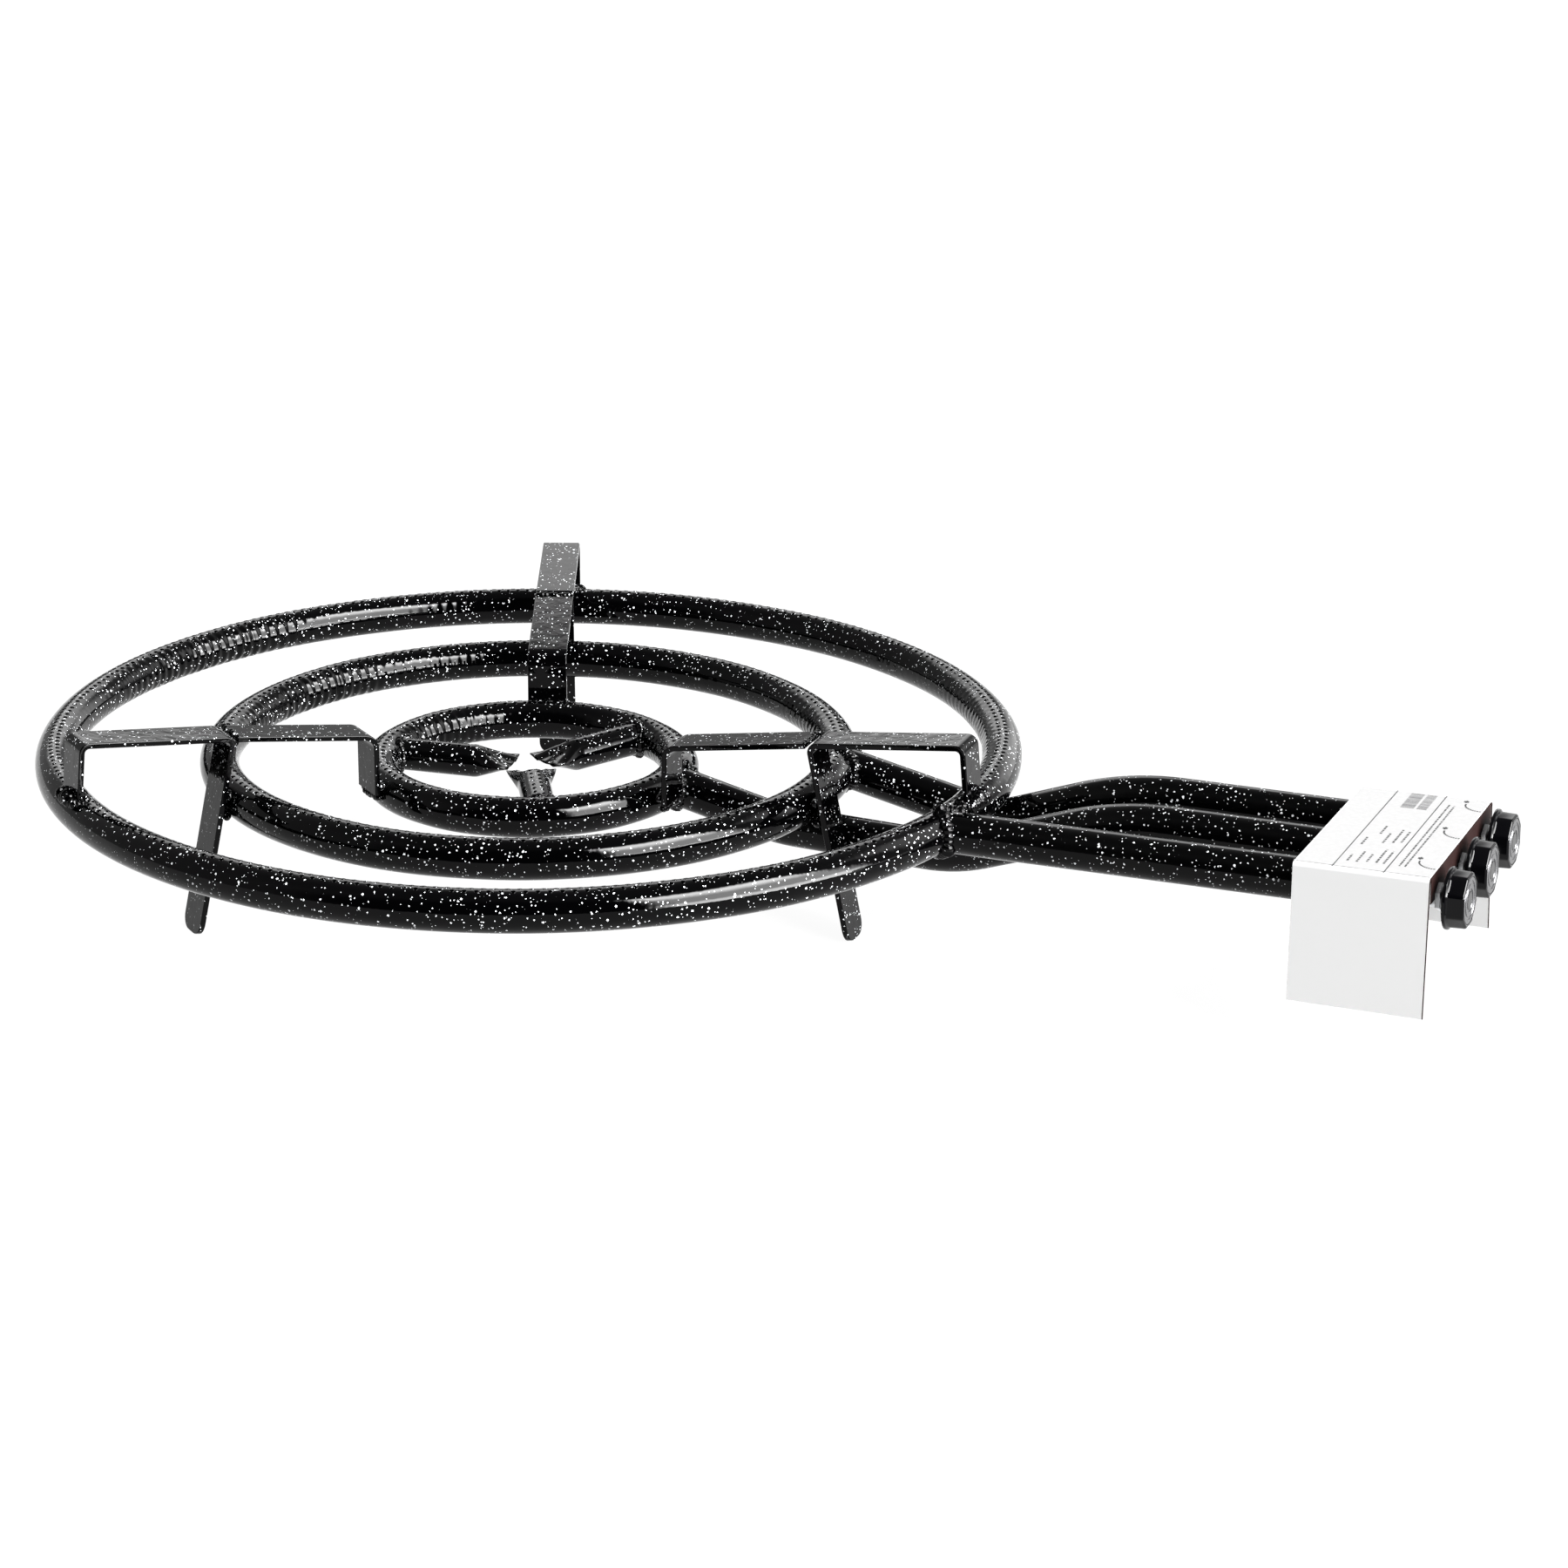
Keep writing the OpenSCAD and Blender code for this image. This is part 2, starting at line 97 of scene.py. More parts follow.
# Feed tubes: the ring that each one opens into and its sideways position.
FEEDS = {"outer_ring": -39.0, "inner_ring": 11.0, "middle_ring": 61.0}

# Pan supports: azimuth and sideways offset, then the bar's section.
SUPPORTS = [(3.5, -28.5), (115.0, -5.0), (235.5, -3.0)]
BAR_WIDTH = 25.0
BAR_THICKNESS = 3.4
BAR_EDGE = 0.7
CORNER_POINTS = 5
# A support's own plane is (distance from the ring axis, height above the largest ring's centre).
SUPPORT_ZERO = RINGS["outer_ring"][1]
BAR_OUTER = (289.6, 44.8)
BAR_INNER = (197.0, 34.0)
BAR_BEND = 4.5
RISER_END_Z = 9
RISER_LEAN = math.tan(math.radians(5.5))
LEG_LEAN = math.tan(math.radians(12.4))
ARM_INNER = (106.6, 20.2)
ARM_END = (194.4, 33.6)
ARM_BEND = 8
ARM_START_RISE = 2
# Rounded corners of a foot: radius, and distances of the cross lines from its end.
FOOT_CORNER = 8.0
FOOT_LINES = (9, 7, 5, 3.4, 2.2, 1.3, 0.6, 0.2)
BEND_STEPS = 12

# Weld beads: radius of the bead on each kind of joint.
FEED_BEAD = 3.7
JET_BEAD = 2.2
ARM_END_BEAD = 1.7
RISER_BEAD = 4.0
RISER_EDGE_BEAD = 3.6
# Beads where a bar meets the outside of a ring: out from the tube, up from its centre, radius.
LEG_BEADS = [(-0.6, 6.5, 2.4), (1.2, -5.5, 2.0)]
ARM_BEADS = [(-1.4, 6.5, 2.4), (1.6, -0.5, 2.0)]
# A riser's beads: height, distance to each side of the bar, overhang past its edges.
RISER_BEAD_Z = 11.3
RISER_BEAD_SIDE = 3.4
RISER_BEAD_OVERHANG = 1.8
WELD_STEP = 0.6
WELD_POINTS = 12
# No weld runs along this direction.
WELD_UP = np.array([0.13, 0.21, 0.97])

# Control end, in the handle's frame: x from the largest ring's centreline, z from the tube axis.
HANDLE_TILT = math.radians(2.0)
HANDLE_Y = 11.0
COVER_BACK = 206.8
COVER_TOP = 15.5
COVER_WIDTH = 136.0
LABEL_TOP = COVER_TOP + 0.3
# Where the cover's lip starts, in metres along the handle from the ring axis.
LIP_FROM = 0.57094

# Marks on the label, from its rear edge (along) and its near side (across). Rules: places along,
# middle, width and length. Setting marks: places across. Small print: along, start and end across.
RULES_AT = (21.0, 48.5)
RULE = (67.75, 0.6, 133.5)
SETTINGS_AT = (15.4, 67.4, 115.0)
LINES_OF_PRINT = [(53.5, 13.5, 121), (56.5, 13.5, 118)]
BLOCKS_OF_PRINT = [
    (26, 12, 22), (26, 40, 52), (31, 12, 30), (31, 60, 74), (36, 14, 26),
    (36, 46, 62), (41, 14, 36), (41, 48, 70), (45, 14, 34), (45, 50, 68),
]
# Striped block: number of stripes, first place across and spacing, then each row's place and length.
STRIPES = 24
STRIPES_FROM = 107.5
STRIPE_SPACING = 1.1
STRIPE_ROWS = [(33.0, 7.5), (41.0, 5.5)]
# A setting mark: an arc of short marks about (along, across), and the bars of its flame.
ARC_MARKS = 12
ARC_CENTRE = (71.5, 9.5)
ARC_RADII = (10, 9.5)
FLAME_AT = (60.8, 14.0)
FLAME_BARS = [(-0.9, 2.4), (0.0, 4.2), (0.9, 2.4)]

# Knobs: taps from the near side, ends and radius of a knob.
TAP_Y = [-39.0, 11.0, 61.0]
KNOB_BACK = 285.9
KNOB_FRONT = 297.4
KNOB_R = 17.0
GRIP_R = KNOB_R - 0.8
# Rear flange, as (distance from the knob's back, radius, share of the eight-sided shape).
KNOB_REAR = [
    (5, 9.6, 0), (0, 9.6, 0), (0, KNOB_R - 0.5, 0), (0.15, KNOB_R - 0.15, 0), (0.5, KNOB_R, 0),
    (1.4, KNOB_R, 0), (1.8, KNOB_R - 0.2, 0), (2.0, GRIP_R + 0.1, 0), (2.6, GRIP_R - 0.5, 0.7),
    (3.2, GRIP_R - 0.6, 1.0),
]
# Rounded front edge of the grip: radius of the edge and of the grip there, and its steps.
GRIP_EDGE = 1.2
GRIP_FRONT_R = GRIP_R - 0.9
GRIP_EDGE_STEPS = 6
# Face of the knob, as (distance from the knob's front, radius, share of the eight-sided shape).
KNOB_FACE = [(-0.1, 13.3, 0.4), (-0.4, 12.9, 0), (-1.15, 12.8, 0)]
# Bright ring and black centre in the face, as (distance from the knob's front, radius).
FACE_RING = [
    (-1.1, 12.7), (-0.2, 12.65), (-0.1, 12.5), (-0.1, 10.8), (-0.45, 10.6), (-0.45, 9.0),
    (-0.1, 8.8), (-0.1, 6.4), (-0.5, 6.2), (-0.52, 3.8),
]
FACE_CENTRE = [(-1.1, 5.3), (-0.5, 5.2), (-0.2, 4.7)]
TURNED_POINTS = 96
# Eight-sided outline: across the flats over across the corners, and how sharp its corners are.
OCTAGON_FLAT = 0.935
OCTAGON_SHARPNESS = 140.0

# Return springs of the taps: wire, coil and where the wire's middle starts and ends.
SPRING_WIRE_R = 0.35
SPRING_R = 4.1
SPRING_TURNS = 3
SPRING_X = (252.43, 257.57)
SPRING_STEPS = 24
WIRE_POINTS = 8

# The finish of each kind of CAD node. The others are enamelled.
NODE_FINISH = {
    "cover": "sheet", "cover_label": "label", "cover_spacer": "zinc", "panel_nuts": "zinc",
    "manifold": "zinc", "manifold_plug": "brass", "inlet_nozzle": "brass", "mixer": "zinc",
    "injectors": "brass", "valve_body": "brass", "bonnet": "zinc", "plug": "brass",
    "spring": "zinc", "stem": "chrome", "knob": "knob", "knob_cap": "chrome",
}

# Studio light, as patches of the sky: azimuth from, to and softness, then the same for elevation,
# in degrees, and strength.
SOFT_BOX = ((-32, 16, 5), (-3, 56, 4), 90.0)
FILL = ((36, 68, 6), (12, 46, 6), 3.5)
BACK_WALL = ((74, 98, 6), (-6, 20, 6), 2.5)
SIDE_PANEL = ((98, 140, 6), (14, 34, 2.5), 3.0)
# The box is brightest in its upper part and has a weaker band at its foot: elevation from and to,
# share before and after.
BOX_UPPER = (32, 50, 0.3, 1.0)
BOX_FOOT = (8, 16, 0.5, 0.0)
# The open sky, and how dark it gets round the camera.
OPEN_SKY = (30, 75, 0.6, 0.3)
DARK_ROUND_CAMERA = (62, 36, 1.0, 0.02)
FLOOR_HALF = 60.0
FLOOR_GLOW = 0.95

# Camera: place, axes and lens.
CAMERA_AT = (0.946177, -1.724677, 0.747948)
CAMERA_RIGHT = (0.8857200, 0.4641861, -0.0055958)
CAMERA_UP = (-0.1424075, 0.2831631, 0.9484402)
CAMERA_BACK = (0.4418372, -0.8392556, 0.3169068)
CAMERA_LENS = 77.676
CAMERA_SENSOR = 36.0
CAMERA_SHIFT = (0.12727, -0.03494)
CAMERA_REACH = 200.0

rng = np.random.default_rng(11)


# ---- meshes ----


def piece(name, points, faces, material, slot, body="base", smooth=35.0, weighted=False):
    """One visible piece from points in millimetres: named, finished and riding on its body."""
    mesh = bpy.data.meshes.new(name)
    mesh.from_pydata((np.asarray(points) * MM).tolist(), [], faces)
    mesh.materials.append(material)
    mesh.polygons.foreach_set("use_smooth", [True] * len(mesh.polygons))
    mesh.set_sharp_from_angle(angle=math.radians(smooth))
    made = bpy.data.objects.new(name, mesh)
    bpy.context.scene.collection.objects.link(made)
    if weighted:
        made.modifiers.new("even_normals", "WEIGHTED_NORMAL").keep_sharp = True
    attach(made, body)
    return made


def grid_faces(rows, columns, wrap_rows=False):
    """Quads over rows of points, each row a closed loop of that many columns."""
    faces = []
    for i in range(rows if wrap_rows else rows - 1):
        for j in range(columns):
            a = i * columns + j
            b = (i + 1) % rows * columns + j
            across = (j + 1) % columns - j
            faces.append((a, b, b + across, a + across))
    return faces


def flipped(faces):
    return [face[::-1] for face in faces]


def end_faces(rows, columns):
    """The polygons that close the first and the last row of grid_faces()."""
    last = (rows - 1) * columns
    return [tuple(range(columns)), tuple(range(last, last + columns))[::-1]]


def joined(parts):
    """Several (points, faces) lists as one."""
    points, faces = [], []
    for some_points, some_faces in parts:
        start = len(points)
        points.extend(np.asarray(some_points).tolist())
        faces.extend(tuple(start + k for k in face) for face in some_faces)
    return points, faces


def compact(points, faces):
    """Drops the points that no face uses."""
    used = sorted({k for face in faces for k in face})
    place = {k: n for n, k in enumerate(used)}
    return points[used], [tuple(place[k] for k in face) for face in faces]


def turned_about_z(x, y, z, turn):
    """Points from coordinates turned by an angle about the ring axis."""
    return np.stack([
        x * math.cos(turn) - y * math.sin(turn),
        x * math.sin(turn) + y * math.cos(turn),
        z,
    ], axis=-1)


def smoothstep(x):
    x = np.clip(x, 0, 1)
    return x * x * (3 - 2 * x)


def section_lines(row_offset, radius):
    """Angles of the lengthwise lines of a tube with two rows of hole cells beside its crest.

    Returns the angles, and the line on which each row's cells start.
    """
    half = HOLE_CELL / 2 / radius
    step = HOLE_CELL / HOLE_SEGMENTS / radius
    shift = row_offset / radius
    starts = [math.pi / 2 - shift - half, math.pi / 2 + shift - half]
    cells = [[start + k * step for k in range(HOLE_SEGMENTS + 1)] for start in starts]
    between = [(cells[0][-1] + cells[1][0]) / 2]
    around = np.linspace(cells[1][-1], cells[0][0] + 2 * math.pi, PLAIN_LINES + 2)[1:-1]
    lines = [*cells[0], *between, *cells[1], *around]
    return np.array(lines), [0, len(cells[0]) + len(between)]


def perforated_tube(surface, stations, lines, row_starts, first_cells, closed, per_mm):
    """Points and faces of a tube with two rows of round holes.

    surface(u, v, lift) gives points. stations are the u of the cross lines and lines the v of the
    lengthwise ones. per_mm is the u and the v that one millimetre is worth.
    """
    count, columns, n = len(stations), len(lines), HOLE_SEGMENTS
    u, v = np.meshgrid(stations, lines, indexing="ij")
    points = [surface(u, v, 0.0).reshape(-1, 3)]
    kept = np.ones((count if closed else count - 1, columns), bool)
    hole_faces = []
    following = count * columns
    turns = np.radians(-135 + 360 / HOLE_POINTS * np.arange(HOLE_POINTS))
    edge = [(k, 0) for k in range(n)] + [(n, k) for k in range(n)]
    edge += [(n - k, n) for k in range(n)] + [(0, n - k) for k in range(n)]
    step = stations[1] - stations[0]
    u_mm, v_mm = per_mm
    for row, first in zip(row_starts, first_cells):
        v_mid = (lines[row] + lines[row + n]) / 2
        last = count if closed else count - n - 1
        for i in range(first, last, HOLE_PITCH):
            kept[[(i + k) % count for k in range(n)], row : row + n] = False
            u_mid = stations[i] + n / 2 * step
            outline = [(i + k) % count * columns + row + j for k, j in edge]
            for distance, height in HOLE_PROFILE:
                around = surface(
                    u_mid + distance * u_mm * np.cos(turns),
                    v_mid + distance * v_mm * np.sin(turns),
                    height,
                )
                points.append(around)
                inner = list(range(following, following + HOLE_POINTS))
                following += HOLE_POINTS
                for k in range(HOLE_POINTS):
                    after = (k + 1) % HOLE_POINTS
                    hole_faces.append((outline[k], outline[after], inner[after], inner[k]))
                outline = inner
            hole_faces.append(tuple(outline))
    all_faces = grid_faces(count, columns, wrap_rows=closed)
    faces = [face for face, keep in zip(all_faces, kept.ravel()) if keep]
    return compact(np.concatenate(points), faces + hole_faces)


# ---- rings and jets ----


def ring_surface(name):
    """A hoop of tube whose inner side is wrinkled, and creased lengthwise, by bending."""
    radius, height, _ = RINGS[name]
    distance, stretches = WRINKLES[name]
    waves = round(2 * math.pi * radius / distance)

    def wrinkle_height(u):
        total = WRINKLE_ELSEWHERE
        for at, spread, amount in stretches:
            away = (u - math.radians(at) + math.pi) % (2 * math.pi) - math.pi
            total = total + amount * np.exp(-((away / math.radians(spread)) ** 2))
        return total

    def surface(u, v, lift):
        inner_side = smoothstep((-np.cos(v) - 0.1) / 0.8)
        # Slow waves of no common period, so that no two wrinkles are alike or evenly spaced.
        drift = 1.7 * np.sin(5 * u + height) + 1.1 * np.sin(11 * u + radius)
        uneven = 0.6 + 0.4 * np.sin(17 * u + 2 * height) * np.sin(29 * u + radius)
        ripple = wrinkle_height(u) * uneven * inner_side * np.sin(waves * u + drift)
        slack = RING_SLACK * np.sin(9 * u + v) * np.cos(2 * v + 4 * u)
        from_crease = (v - CREASE_AT - 0.05 * np.sin(7 * u)) / CREASE_HALF_WIDTH
        along = (u - math.radians(CREASE_SECTOR)) / math.radians(CREASE_SPREAD)
        crease = CREASE_DEPTH * np.exp(-(along**2)) * np.exp(-(from_crease**2))
        r = TUBE_R + lift + ripple + slack - crease
        out = radius + r * np.cos(v)
        return np.stack([out * np.cos(u), out * np.sin(u), height + r * np.sin(v)], axis=-1)

    return surface


def burner_ring(name, enamel):
    radius, _, holes = RINGS[name]
    count = holes * HOLE_PITCH
    stations = np.arange(count) * 2 * math.pi / count
    lines, rows = section_lines(RING_ROW_OFFSET, TUBE_R)
    points, faces = perforated_tube(
        ring_surface(name), stations, lines, rows, [0, HOLE_SEGMENTS], True,
        (1 / radius, 1 / TUBE_R),
    )
    made = piece(f"{name}_enamelled", points, faces, enamel, "enamel")
    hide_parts(name)


def jet_surface(angle):
    """A round tube crushed flat towards its mouth, as (distance from the ring axis, v, lift)."""
    height = RINGS["inner_ring"][1]
    press, press_width = MOUTH_PRESS
    fold, fold_rate = MOUTH_FOLDS
    bow, bow_width = MOUTH_BOW

    def surface(u, v, lift):
        crush = smoothstep((JET_ROUND_X - u) / (JET_ROUND_X - JET_MOUTH_X) * MOUTH_CRUSH)
        crush = crush / smoothstep(MOUTH_CRUSH)
        half_height = JET_R + (MOUTH_HALF_HEIGHT - JET_R) * crush
        half_width = np.sqrt(2 * JET_R**2 - half_height**2) * (1 + MOUTH_FLARE * crush**2)
        across = -(half_width + lift) * np.cos(v)
        pressed = 1 - press * crush * np.exp(-((across / press_width) ** 2))
        folds = fold * crush * np.cos(fold_rate * across)
        up = ((half_height + lift) * pressed + folds) * np.sin(v)
        lifted = bow * crush * (across / bow_width) ** 2
        return turned_about_z(u, across, height + up + lifted, math.radians(angle))

    return surface


def jet(index, enamel):
    surface = jet_surface(JET_ANGLES[index])
    stations = np.arange(JET_MOUTH_X, JET_END_X, JET_HOLE_DISTANCE / HOLE_PITCH)
    lines, rows = section_lines(JET_ROW_OFFSET, JET_R)
    tube = perforated_tube(
        surface, stations, lines, rows, [2, 2 + HOLE_SEGMENTS], False, (1, 1 / (JET_R + 2)),
    )
    lip = [surface(JET_MOUTH_X + behind, lines, lift) for behind, lift in MOUTH_LIP]
    faces = flipped(grid_faces(len(lip), len(lines)) + end_faces(len(lip), len(lines))[1:])
    points, faces = joined([tube, (np.concatenate(lip), faces)])
    made = piece(f"jet_{index + 1}_enamelled", points, faces, enamel, "enamel")
    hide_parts(f"jet_{index + 1}")


# ---- bars ----


def heading_of(vector):
    return math.atan2(vector[1], vector[0])


def bent_path(corners, radii, step=15.0):
    """Points and directions along straights joined by round bends, in a plane."""
    corners = [np.array(c, float) for c in corners]
    points, directions = [corners[0]], [heading_of(corners[1] - corners[0])]
    for i in range(1, len(corners) - 1):
        before = corners[i] - corners[i - 1]
        after = corners[i + 1] - corners[i]
        start = heading_of(before)
        turn = (heading_of(after) - start + math.pi) % (2 * math.pi) - math.pi
        radius = radii[i]
        back = radius * math.tan(abs(turn) / 2)
        side = math.copysign(1, turn)
        entry = corners[i] - back * before / np.linalg.norm(before)
        centre = entry + side * radius * np.array([-math.sin(start), math.cos(start)])
        for k in range(BEND_STEPS + 1):
            at = start + turn * k / BEND_STEPS
            points.append(centre + side * radius * np.array([math.sin(at), -math.cos(at)]))
            directions.append(at)
    points.append(corners[-1])
    directions.append(heading_of(corners[-1] - corners[-2]))
    directions = np.unwrap(directions)
    dense, headings = [], []
    for p, q, d, e in zip(points, points[1:], directions, directions[1:]):
        pieces = max(1, round(np.linalg.norm(q - p) / step))
        for k in range(pieces):
            dense.append(p + (q - p) * k / pieces)
            headings.append(d + (e - d) * k / pieces)
    return np.array([*dense, points[-1]]), np.array([*headings, directions[-1]])


def bar_section(half_width, half_thickness, edge):
    """Rounded rectangle, corner by corner: (across, square to the bar's face)."""
    outline = []
    for corner in range(4):
        side = 1 if corner in (0, 3) else -1
        top = 1 if corner < 2 else -1
        for k in range(CORNER_POINTS):
            at = math.radians(90 * corner + 90 * k / (CORNER_POINTS - 1))
            outline.append((
                side * (half_width - edge) + edge * math.cos(at),
                top * (half_thickness - edge) + edge * math.sin(at),
            ))
    return np.array(outline)


def bar(corners, radii, place, foot=False):
    """Points and faces of a flat bar with rounded edges, bent along corners in the XZ plane."""
    path, headings = bent_path(corners, radii)
    if foot:
        end, along = path[-1], path[-1] - path[-2]
        along = along / np.linalg.norm(along)
        extra = [end - along * distance for distance in FOOT_LINES]
        path = np.array([*path[:-1], *extra, end])
        headings = np.append(headings, [headings[-1]] * len(extra))
    floor_z = -SUPPORT_ZERO
    points = []
    for p, heading in zip(path, headings):
        half_width = BAR_WIDTH / 2
        if foot:
            rise = min(FOOT_CORNER, max(0.0, p[1] - floor_z))
            half_width -= FOOT_CORNER - math.sqrt(FOOT_CORNER**2 - (FOOT_CORNER - rise) ** 2)
        for across, out in bar_section(half_width, BAR_THICKNESS / 2, BAR_EDGE):
            x = p[0] - out * math.sin(heading)
            z = p[1] + out * math.cos(heading)
            if z < floor_z:
                x -= (z - floor_z) / math.tan(heading)
                z = floor_z
            points.append((x, across, z))
    columns = 4 * CORNER_POINTS
    faces = grid_faces(len(path), columns) + end_faces(len(path), columns)
    return place(np.array(points)), faces


def at_support(index):
    """Moves points from a support's own plane to its place on the rings."""
    angle, offset = SUPPORTS[index]

    def place(points):
        x, y, z = np.moveaxis(np.asarray(points, float), -1, 0)
        return turned_about_z(x, y + offset, z + SUPPORT_ZERO, math.radians(angle))

    return place


def lean_to(point, height, lean):
    """The point at another height on a line that leans outwards as it goes down."""
    return (point[0] + (point[1] - height) * lean, height)


def pan_support(index, enamel):
    place = at_support(index)
    riser_end = lean_to(BAR_OUTER, RISER_END_Z, RISER_LEAN)
    foot = lean_to(BAR_INNER, -SUPPORT_ZERO, LEG_LEAN)
    corners = [riser_end, BAR_OUTER, BAR_INNER, foot]
    points, faces = bar(corners, [0, BAR_BEND, BAR_BEND, 0], place, foot=True)
    made = piece(f"support_{index + 1}_bar", points, faces, enamel, "enamel", weighted=True)
    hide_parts(f"support_{index + 1}")
    arm_start = (ARM_INNER[0], RINGS["inner_ring"][1] - SUPPORT_ZERO + ARM_START_RISE)
    points, faces = bar([arm_start, ARM_INNER, ARM_END], [0, ARM_BEND, 0], place)
    made = piece(f"support_arm_{index + 1}_bar", points, faces, enamel, "enamel", weighted=True)
    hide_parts(f"support_arm_{index + 1}")


# ---- welds ----


def weld(path, radius, closed=False):
    """A lumpy bead along a path: ripples every few millimetres, uneven width."""
    path = np.asarray(path, float)
    if closed:
        path = np.concatenate([path, path[:1]])
    lengths = np.concatenate([[0], np.cumsum(np.linalg.norm(np.diff(path, axis=0), axis=1))])
    count = max(8, int(lengths[-1] / WELD_STEP))
    s = np.linspace(0, lengths[-1], count, endpoint=not closed)
    centre = np.stack([np.interp(s, lengths, path[:, k]) for k in range(3)], axis=-1)
    ahead = np.roll(centre, -1, axis=0) - np.roll(centre, 1, axis=0)
    if not closed:
        ahead[0], ahead[-1] = centre[1] - centre[0], centre[-1] - centre[-2]
    ahead /= np.linalg.norm(ahead, axis=1)[:, None]
    side = np.cross(ahead, WELD_UP)
    side /= np.linalg.norm(side, axis=1)[:, None]
    lift = np.cross(side, ahead)
    phase = rng.uniform(0, 6.28, 6)
    v = np.arange(WELD_POINTS) * 2 * math.pi / WELD_POINTS
    # Solidified ripples, longer lumps, and a section that isn't quite round.
    ripple = 0.14 * np.sin(2 * math.pi * s / 2.9 + 0.8 * np.sin(s / 4 + phase[0]))
    lump = 0.16 * np.sin(s / 2.3 + phase[1]) + 0.12 * np.sin(s / 1.1 + phase[2])
    oval = 0.1 * np.sin(2 * v + s[:, None] / 1.7 + phase[3])
    width = radius * (1 + (ripple + lump)[:, None] + oval)
    if not closed:
        to_end = np.minimum(s, s[-1] - s)
        width *= np.sqrt(np.clip(to_end / (1.2 * radius), 0.02, 1))[:, None]
    section = (np.cos(v)[None, :, None] * side[:, None]
               + np.sin(v)[None, :, None] * lift[:, None])
    points = centre[:, None] + width[..., None] * section
    faces = grid_faces(count, WELD_POINTS, wrap_rows=closed)
    if not closed:
        faces += end_faces(count, WELD_POINTS)
    return points.reshape(-1, 3), faces


def across_bar(place, at, overhang=0.5):
    """The path of a weld straight across a bar at a point of its own plane."""
    half = BAR_WIDTH / 2 + overhang
    y = np.linspace(-half, half, 9)
    wander = 0.5 * np.sin(y / 3 + at[0])
    return place(np.stack([at[0] + 0 * y, y, at[1] + wander], axis=-1))


def support_welds(index):
    place = at_support(index)
    arm_joint = ((BAR_INNER[0] + ARM_END[0]) / 2 - 1.2, BAR_INNER[1] + 1.0)
    beads = [weld(across_bar(place, arm_joint), ARM_END_BEAD)]
    x, z = lean_to(BAR_OUTER, RISER_BEAD_Z, RISER_LEAN)
    for side in (-1, 1):
        beside = (x + side * RISER_BEAD_SIDE, z)
        beads.append(weld(across_bar(place, beside, RISER_BEAD_OVERHANG), RISER_BEAD))
        edge_y = side * (BAR_WIDTH / 2 + 0.6)
        edge = place([[x + along, edge_y, z - 0.3] for along in (-4, -1.5, 1.5, 4)])
        beads.append(weld(edge, RISER_EDGE_BEAD))
    for ring, ring_beads in (("middle_ring", LEG_BEADS), ("inner_ring", ARM_BEADS)):
        ring_r, ring_z, _ = RINGS[ring]
        for out, rise, width in ring_beads:
            at = (ring_r + TUBE_R + out, ring_z - SUPPORT_ZERO + rise)
            beads.append(weld(across_bar(place, at), width))
    return beads


def tube_on_ring(ring, y, radius):
    """Where a tube along X at sideways y and of that radius meets the outside of a ring."""
    ring_r, ring_z, _ = RINGS[ring]
    t = np.linspace(0, 2 * math.pi, 72, endpoint=False)
    side, rise = radius * np.cos(t), radius * np.sin(t)
    reach = ring_r + np.sqrt(np.maximum(TUBE_R**2 - rise**2, 0))
    x = np.sqrt(reach**2 - (y + side) ** 2)
    return np.stack([x, y + side, ring_z + rise], axis=-1)


def jet_on_ring(angle):
    """Where a jet meets the inside of the smallest ring."""
    ring_r, ring_z, _ = RINGS["inner_ring"]
    t = np.linspace(0, 2 * math.pi, 60, endpoint=False)
    side, rise = JET_R * np.cos(t), JET_R * np.sin(t)
    reach = ring_r - np.sqrt(TUBE_R**2 - rise**2)
    x = np.sqrt(reach**2 - side**2)
    return turned_about_z(x, side, ring_z + rise, math.radians(angle))


def all_welds(enamel):
    parts = [bead for index in range(len(SUPPORTS)) for bead in support_welds(index)]
    made = piece("support_weld_beads", *joined(parts), enamel, "enamel", smooth=80)
    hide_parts("support_welds")
    parts = [
        weld(tube_on_ring(ring, y, TUBE_R), FEED_BEAD, closed=True) for ring, y in FEEDS.items()
    ]
    piece("feed_weld_beads", *joined(parts), enamel, "enamel", smooth=80)
    parts = [weld(jet_on_ring(angle), JET_BEAD, closed=True) for angle in JET_ANGLES]
    piece("jet_weld_beads", *joined(parts), enamel, "enamel", smooth=80)


# ---- handle end ----


def in_handle(points):
    """Moves points from the handle's frame to the part's."""
    x, y, z = np.moveaxis(np.asarray(points, float), -1, 0)
    ring_r, ring_z, _ = RINGS["outer_ring"]
    return np.stack([
        ring_r + x * math.cos(HANDLE_TILT) - z * math.sin(HANDLE_TILT),
        y,
        ring_z + x * math.sin(HANDLE_TILT) + z * math.cos(HANDLE_TILT),
    ], axis=-1)


def at_tap(points, index):
    """Moves points from a tap's own axis to the part's frame."""
    return in_handle(np.asarray(points, float) + [0, TAP_Y[index], 0])


def printed(along, across, size_along, size_across):
    """One printed mark: a very thin block on the label, centred at a point of its face."""
    x = COVER_BACK + along
    y = HANDLE_Y - COVER_WIDTH / 2 + across
    dx, dy = size_along / 2, size_across / 2
    ring = [(x - dx, y - dy), (x + dx, y - dy), (x + dx, y + dy), (x - dx, y + dy)]
    points = [(*p, LABEL_TOP - 0.02) for p in ring] + [(*p, LABEL_TOP + 0.03) for p in ring]
    sides = [(k, (k + 1) % 4, (k + 1) % 4 + 4, k + 4) for k in range(4)]
    return points, [(3, 2, 1, 0), (4, 5, 6, 7), *sides]


